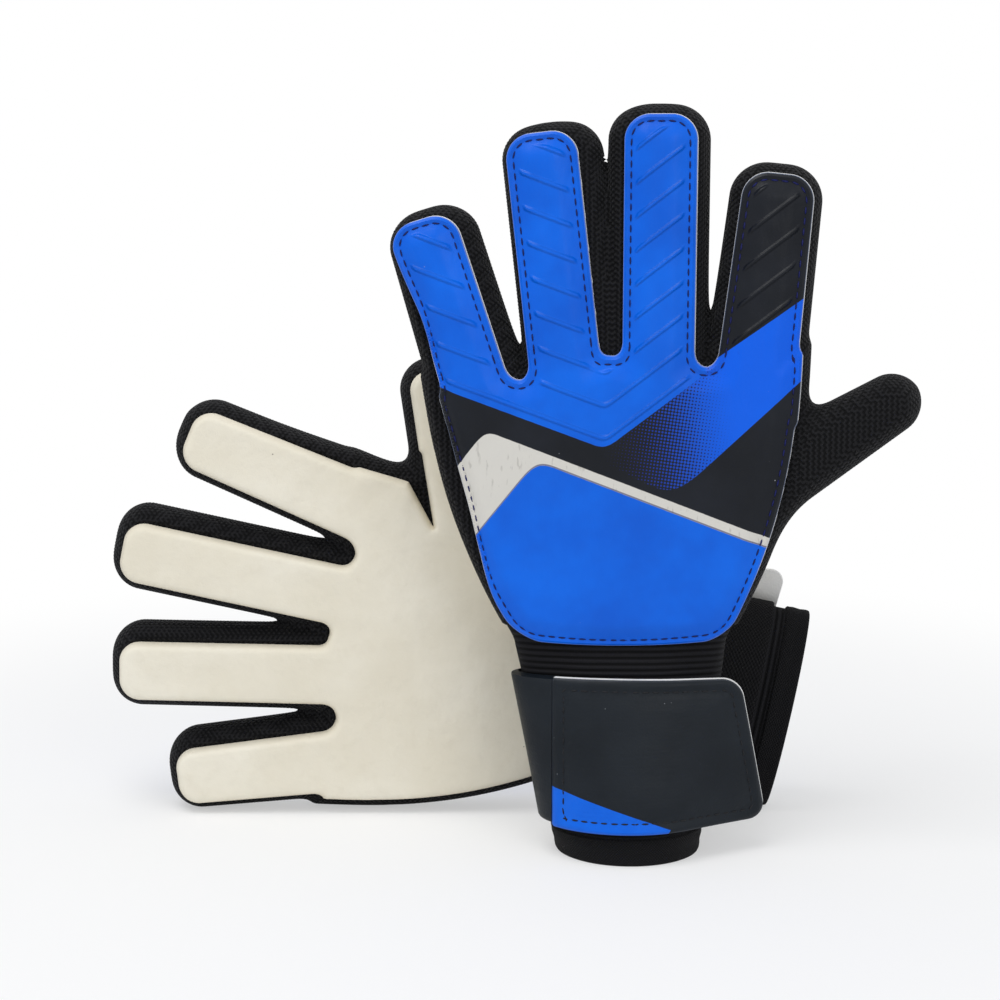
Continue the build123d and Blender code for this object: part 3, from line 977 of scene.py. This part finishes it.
def stitchRuns(glove, name, runs, height, material):
    points, edges = [], []
    for run in runs:
        first = sum(len(p) for p in points)
        points.append(glove.place(run[:, 0], run[:, 1], height(run)))
        edges += [(first + k, first + k + 1) for k in range(len(run) - 1)]
    mesh = bpy.data.meshes.new(name)
    mesh.from_pydata(np.vstack(points).tolist(), edges, [])
    line = bpy.data.objects.new(name + "_line", mesh)
    bpy.context.collection.objects.link(line)
    tree, ids = stitchTree(material)
    modifier = line.modifiers.new("stitches", "NODES")
    modifier.node_group = tree
    for label, key in (("Spacing", "spacing"), ("Length", "length"), ("Width", "width")):
        modifier[ids[label]] = stitchSize[key] / 1000
    bpy.context.view_layer.update()
    made = bpy.data.meshes.new_from_object(line.evaluated_get(bpy.context.evaluated_depsgraph_get()))
    made.polygons.foreach_set("use_smooth", [True] * len(made.polygons))
    obj = bpy.data.objects.new(name, made)
    bpy.context.collection.objects.link(obj)
    bpy.data.objects.remove(line)
    return obj


def finishPiece(obj, glove, body, node):
    # a hand piece rides with its body and a digit's piece is baked where it lies; each stands for its CAD node
    if body in glove.digits:
        d = glove.digits[body]
        a, b = (d["hinge"] + d["way"] * k for k in (-bendHalf, bendHalf))
        start, end = (glove.place(np.array([p[0]]), np.array([p[1]]), np.array([0.0]))[0] for p in (a, b))
        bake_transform(obj)
    else:
        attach(obj, f"{glove.name}_{body}")
    if node:
        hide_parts(f"{glove.name}_{node}")


for glove in (left, right):
    buildHand(glove)


# Cuff, hem and wrist strap

cuffShape = dict(
    left=dict(mouth=(21.5, 19.0), root=-21.0, leave=52.0, strapEnd=156.0, wrapEnd=206.0, wrapThin=2.3),
    right=dict(mouth=(33.0, 8.0), root=-30.0, leave=32.0, strapEnd=136.0, wrapEnd=174.0, wrapThin=1.75),
    neck=(33.3, 6.1), length=70.0, top=77.0, wall=1.3,
    hemHeight=8.0, hemThick=0.9,
    strapLow=12.0, strapHigh=56.0, strapThick=1.6,
    patch=(17.0, 51.0), loopAngles=(60, 122), loopLevels=(0.1, 1.1), hookAngles=(64, 118), hookLevels=(1.5, 2.4),
    tabUnder=2.45, tabFoamTop=4.15, tabTop=5.2, tabCorner=5.5,
    tabLowEnd=45.6, tabHighEnd=36.6, tabStitch=3.4, tabDrop=1.4,
)


def cuffSize(glove, v):
    c = cuffShape
    mouth = c[glove.name]["mouth"]
    share = np.clip(v / c["length"], 0, 1)
    flare = smooth(c["length"] - 4, c["top"], v)
    return (
        mouth[0] + (c["neck"][0] - mouth[0]) * share + flare * 3.6,
        mouth[1] + (c["neck"][1] - mouth[1]) * share + flare * 1.0,
        glove.mouthShift * (1 - share),
    )


def gridFaces(rows, cols):
    corners = [(i * cols + j, (i + 1) * cols + j) for i in range(rows - 1) for j in range(cols - 1)]
    return [[a, a + 1, b + 1, b] for a, b in corners]


def tubeObject(name, glove, profile, material, count=180):
    # profile: a closed list of (v, offset from the cuff's outside), swept round the cuff
    angles = np.linspace(0, 2 * math.pi, count + 1)
    pu, pv, pw, ma, mv = [], [], [], [], []
    for v, off in profile + profile[:1]:
        a, b, shift = cuffSize(glove, np.full(count + 1, float(v)))
        fold = 0.22 * np.sin(angles * 9 + v * 0.05) + 0.16 * np.sin(angles * 5 - v * 0.11 + 1.0)
        fold = fold * smooth(0, 30, v)
        pu.append(shift + (a + off + fold) * np.cos(angles))
        pw.append((b + off + fold * 0.6) * np.sin(angles))
        pv.append(np.full(count + 1, float(v)))
        ma.append(angles * 27.0)
        mv.append(np.full(count + 1, float(v) + off))
    pu, pv, pw, ma, mv = map(np.array, (pu, pv, pw, ma, mv))
    rows, cols = pu.shape
    pts = glove.place(pu.ravel(), pv.ravel(), pw.ravel())
    polys = gridFaces(rows, cols)
    return closeUp(name, pts, polys, material, np.column_stack([ma.ravel(), mv.ravel()]) / 100)


def closeUp(name, pts, polys, material, uv):
    # merges coincident seams and turns faces outwards
    obj = makeObject(name, pts, polys, material, dict(plan=uv), np.full(len(pts), 5.0))
    bm = bmesh.new()
    bm.from_mesh(obj.data)
    bmesh.ops.remove_doubles(bm, verts=bm.verts, dist=1e-6)
    bmesh.ops.recalc_face_normals(bm, faces=bm.faces)
    bm.to_mesh(obj.data)
    bm.free()
    obj.data.set_sharp_from_angle(angle=math.radians(40))
    return obj


def bandPoint(glove, v, offset, angle):
    a, b, shift = cuffSize(glove, v)
    t = np.radians(angle)
    return shift + (a + offset) * np.cos(t), (b + offset) * np.sin(t)


def bandObject(name, glove, angles, low, high, inner, outer, material):
    # a strip that follows the cuff, closed all round with softened edges; angles may change with the height
    turnAt = angles if callable(angles) else lambda v: np.array(angles)
    rows = [(low, inner), (low + 0.3, outer - 0.25), (low + 0.8, outer)]
    rows += [(v, outer) for v in np.arange(low + 2.0, high - 1.9, 2.0)]
    rows += [(high - 0.8, outer), (high - 0.3, outer - 0.25), (high, inner)]
    rows += [(v, inner) for v in np.arange(high - 3, low + 2.9, -3.0)]
    grid, maps = [], []
    for v, off in rows + rows[:1]:
        columns = turnAt(v)
        vv = np.full(len(columns), float(v))
        u, w = bandPoint(glove, vv, off, columns)
        grid.append(glove.place(u, vv, w))
        maps.append(np.column_stack([columns * 0.47, vv + off]) / 100)
    cols = len(columns)
    pts, uv = np.vstack(grid), np.vstack(maps)
    polys = gridFaces(len(rows) + 1, cols)
    polys += [[i * cols for i in range(len(rows))], [i * cols + cols - 1 for i in range(len(rows))][::-1]]
    return closeUp(name, pts, polys, material, uv)


def tabPlan(glove):
    # signed distance to the tab's outline
    c = cuffShape
    root = c[glove.name]["root"]

    def distance(p):
        u, v = p.T
        lean = (c["tabLowEnd"] - c["tabHighEnd"]) / (c["strapHigh"] - c["strapLow"])
        end = (u - (c["tabLowEnd"] - lean * (v - c["strapLow"]))) / math.hypot(1, lean)
        over, under = v - c["strapHigh"] - 0.8 * np.cos((u + 20) / 30.0), c["strapLow"] - c["tabDrop"] - v
        high = np.maximum(over, under)
        return np.maximum(roundedMost(end, high, c["tabCorner"]), root - u)

    return distance


def tabHeight(glove, points, offset):
    # w of the tab at an offset from the cuff's outside: it follows the cuff, then runs on straight
    u, v = points.T
    c = cuffShape[glove.name]
    a, b, shift = cuffSize(glove, v)
    t = math.radians(c["leave"])
    au, bw = a + offset, b + offset
    leaveU = shift + au * math.cos(t)
    leaveW = bw * math.sin(t)
    fall = -(b * math.cos(t)) / (a * math.sin(t))
    round_ = bw * np.sqrt(np.maximum(1 - ((u - shift) / au) ** 2, 0.02))
    flat = leaveW + (u - leaveU) * fall
    lift = 0.0016 * np.maximum(u - leaveU - 4.0, 0) ** 2
    return np.where(u < leaveU, round_, flat + lift)


def buildCuff(glove):
    c = cuffShape
    own = c[glove.name]
    name = glove.name
    rib = [(v, 0.0) for v in np.arange(0.4, c["top"], 1.4)]
    inner = [(v, -c["wall"]) for v in np.arange(c["top"] - 0.6, 0.4, -4.0)]
    cuff = tubeObject(name + "_cuff_elastic_visual", glove, rib + inner, elasticFinish)
    finishPiece(cuff, glove, "hand", "cuff_elastic")

    h, t = c["hemHeight"], c["hemThick"]
    binding = [(0.05, -1.0), (0.0, 0.2), (0.25, t * 0.8), (0.9, t + 0.05)]
    binding += [(v, t + 0.12 * math.sin(v * 1.4)) for v in np.arange(2.0, h - 1.0, 1.2)]
    binding += [(h - 0.5, t), (h - 0.1, t * 0.6), (h, 0.05), (h - 1, -0.3), (3.0, -0.4), (0.6, -1.6), (0.25, -1.5)]
    hem = tubeObject(name + "_cuff_hem_visual", glove, binding, bindingFinish)
    finishPiece(hem, glove, "hand", "cuff_hem")

    strap = bandObject(
        name + "_strap_elastic_visual", glove, np.linspace(own["strapEnd"], 356.0, 110),
        c["strapLow"], c["strapHigh"], 0.05, c["strapThick"] + 0.15, strapFinish,
    )
    finishPiece(strap, glove, "hand", "strap_elastic")

    # the tab's sewn end, wrapped round the cuff's little finger side
    def wrapAngles(v):
        a, b, shift = cuffSize(glove, np.full(1, float(v)))
        first = math.degrees(math.acos((own["root"] - 0.15 - shift[0]) / (a[0] + c["tabTop"] - 0.2)))
        return np.linspace(first, own["wrapEnd"], 40)

    wrapOut = c["tabTop"] - 0.15 - (c["tabTop"] - own["wrapThin"]) * smooth(0.15, 0.95, np.linspace(0, 1, 40))
    wrap = bandObject(
        name + "_tab_root_visual", glove, wrapAngles,
        c["strapLow"] - 0.6, c["strapHigh"] + 0.7, 0.9, wrapOut, tabFinish,
    )
    finishPiece(wrap, glove, "hand", None)

    loop = bandObject(
        name + "_loop_patch_visual", glove, np.linspace(*c["loopAngles"], 40),
        *c["patch"], *c["loopLevels"], loopFinish,
    )
    finishPiece(loop, glove, "hand", "loop_patch")

    hook = bandObject(
        name + "_hook_patch_visual", glove, np.linspace(*c["hookAngles"], 40),
        *c["patch"], *c["hookLevels"], hookFinish,
    )
    finishPiece(hook, glove, "strap_tab", "hook_patch")

    # the tab: foam with a skin over it
    window = (-40, 55, 5, 65)
    shape = tabPlan(glove)
    skinSheet = flatSheet(glove, shape, 0.0, 0.8, (0.35, 0.9, 1.8, 2.8, 3.6, 4.6), 1.3, (), window)

    def tabTop(points, depth):
        edge = 0.6 * (1 - smooth(0.0, 0.9, depth))
        puff = 0.45 * smooth(4.0, 9.0, depth) - 0.4 * np.exp(-((depth - c["tabStitch"]) / 0.7) ** 2)
        return tabHeight(glove, points, c["tabTop"]) - edge + puff + 0.12 * ripple(points, 11.0, 7)

    def tabMid(points, depth):
        return np.minimum(tabHeight(glove, points, c["tabFoamTop"]), tabTop(points, depth) - 0.5)

    skin = slabPieces(glove, skinSheet, shape, tabTop, tabMid, {"hand": "tab_skin"}, tabFinish)["hand"]
    foamSheet = flatSheet(glove, shape, -0.1, 1.2, (0.5,), 2.4, (), window)
    foam = slabPieces(
        glove, foamSheet, shape, lambda p, d: tabMid(p, d) - 0.02,
        lambda p, d: tabHeight(glove, p, c["tabUnder"]), {"hand": "tab_foam"}, foamFinish, bulge=0.35,
    )["hand"]
    for obj, node in ((skin, "tab_skin"), (foam, "tab_foam")):
        finishPiece(obj, glove, "strap_tab", node)
    loopLine = contour(shape, -c["tabStitch"], 0.8, window)
    seam = stitchRuns(
        glove, name + "_tab_seam_visual", [np.vstack([l, l[:1]]) for l in loopLine],
        lambda p: tabTop(p, -shape(p)) + 0.06, blackThread,
    )
    finishPiece(seam, glove, "strap_tab", None)
    print(name, "cuff and strap are sewn")


for glove in (left, right):
    buildCuff(glove)


# Floor, light and camera

studio = dict(
    eye=(0.8, -15.9, 110.0), distance=590.0, elevation=9.0, viewWidth=305.5,
    sky=0.62, floorColour=(0.92, 0.92, 0.92),
    floorGlow=0.45, fadeFrom=0.16, fadeTo=0.42,    # the floor turns to plain white away from the gloves
)

floorMesh = bpy.data.meshes.new("floor")
floorMesh.from_pydata([(-15, -15, 0), (15, -15, 0), (15, 40, 0), (-15, 40, 0)], [], [(0, 1, 2, 3)])
floor = bpy.data.objects.new("floor", floorMesh)
bpy.context.collection.objects.link(floor)
floorPaint = Paint("floorPaint", Roughness=0.9, Specular_IOR_Level=0.1)
floorPaint.shader.inputs["Base Color"].default_value = (*studio["floorColour"], 1)
fx, fy, fz = floorPaint.split(floorPaint.object())
away = (fx * fx + (fy - 0.02) * (fy - 0.02)).root()
away = away.ease(studio["fadeFrom"], studio["fadeTo"]) * (1 - studio["floorGlow"]) + studio["floorGlow"]
seen = floorPaint.node("ShaderNodeLightPath", out=0)
glow = floorPaint.node("ShaderNodeEmission", None, {0: (1, 1, 1, 1), 1: 1.0})
blend = floorPaint.tree.nodes.new("ShaderNodeMixShader")
floorPaint.tree.links.new((away * seen).socket, blend.inputs[0])
floorPaint.tree.links.new(floorPaint.shader.outputs[0], blend.inputs[1])
floorPaint.tree.links.new(glow.socket, blend.inputs[2])
floorPaint.tree.links.new(blend.outputs[0], floorPaint.tree.nodes["Material Output"].inputs["Surface"])
floorMesh.materials.append(floorPaint.material)

world = bpy.data.worlds.new("softRoom")
bpy.context.scene.world = world
world.use_nodes = True
tree = world.node_tree
tree.nodes.clear()
path = tree.nodes.new("ShaderNodeLightPath")
plain, bright = tree.nodes.new("ShaderNodeBackground"), tree.nodes.new("ShaderNodeBackground")
plain.inputs[0].default_value, plain.inputs[1].default_value = (0.95, 0.97, 1.0, 1), studio["sky"]
bright.inputs[0].default_value, bright.inputs[1].default_value = (1, 1, 1, 1), 1.0
cameraOrGloss = tree.nodes.new("ShaderNodeMath")
cameraOrGloss.operation = "MAXIMUM"
seenWhite = tree.nodes.new("ShaderNodeMath")
seenWhite.operation = "MAXIMUM"
mixer, output = tree.nodes.new("ShaderNodeMixShader"), tree.nodes.new("ShaderNodeOutputWorld")
tree.links.new(path.outputs["Is Camera Ray"], cameraOrGloss.inputs[0])
tree.links.new(path.outputs["Is Glossy Ray"], cameraOrGloss.inputs[1])
tree.links.new(cameraOrGloss.outputs[0], seenWhite.inputs[0])
tree.links.new(path.outputs["Is Transmission Ray"], seenWhite.inputs[1])
tree.links.new(seenWhite.outputs[0], mixer.inputs[0])
tree.links.new(plain.outputs[0], mixer.inputs[1])
tree.links.new(bright.outputs[0], mixer.inputs[2])
tree.links.new(mixer.outputs[0], output.inputs[0])


def softLamp(name, at, aim, width, power):
    lamp = bpy.data.lights.new(name, "AREA")
    lamp.shape, lamp.size, lamp.energy = "DISK", width, power
    obj = bpy.data.objects.new(name, lamp)
    bpy.context.collection.objects.link(obj)
    obj.location = at
    obj.rotation_euler = (Vector(aim) - Vector(at)).to_track_quat("-Z", "Y").to_euler()


softLamp("overhead", (-0.25, -0.35, 1.1), (0, 0, 0.1), 0.7, 5.5)
softLamp("frontFill", (0.6, -1.1, 0.55), (0, 0, 0.1), 0.6, 1.8)

cameraData = bpy.data.cameras.new("camera")
camera = bpy.data.objects.new("camera", cameraData)
bpy.context.collection.objects.link(camera)
aim = Vector(studio["eye"]) / 1000
tilt = math.radians(studio["elevation"])
camera.location = aim + Vector((0, -math.cos(tilt), math.sin(tilt))) * studio["distance"] / 1000
camera.rotation_euler = (aim - camera.location).to_track_quat("-Z", "Y").to_euler()
cameraData.sensor_width = 36.0
cameraData.lens = 36.0 * studio["distance"] / studio["viewWidth"]
cameraData.clip_start, cameraData.clip_end = 0.01, 20.0
bpy.context.scene.camera = camera
bpy.context.scene.view_settings.view_transform = "Standard"
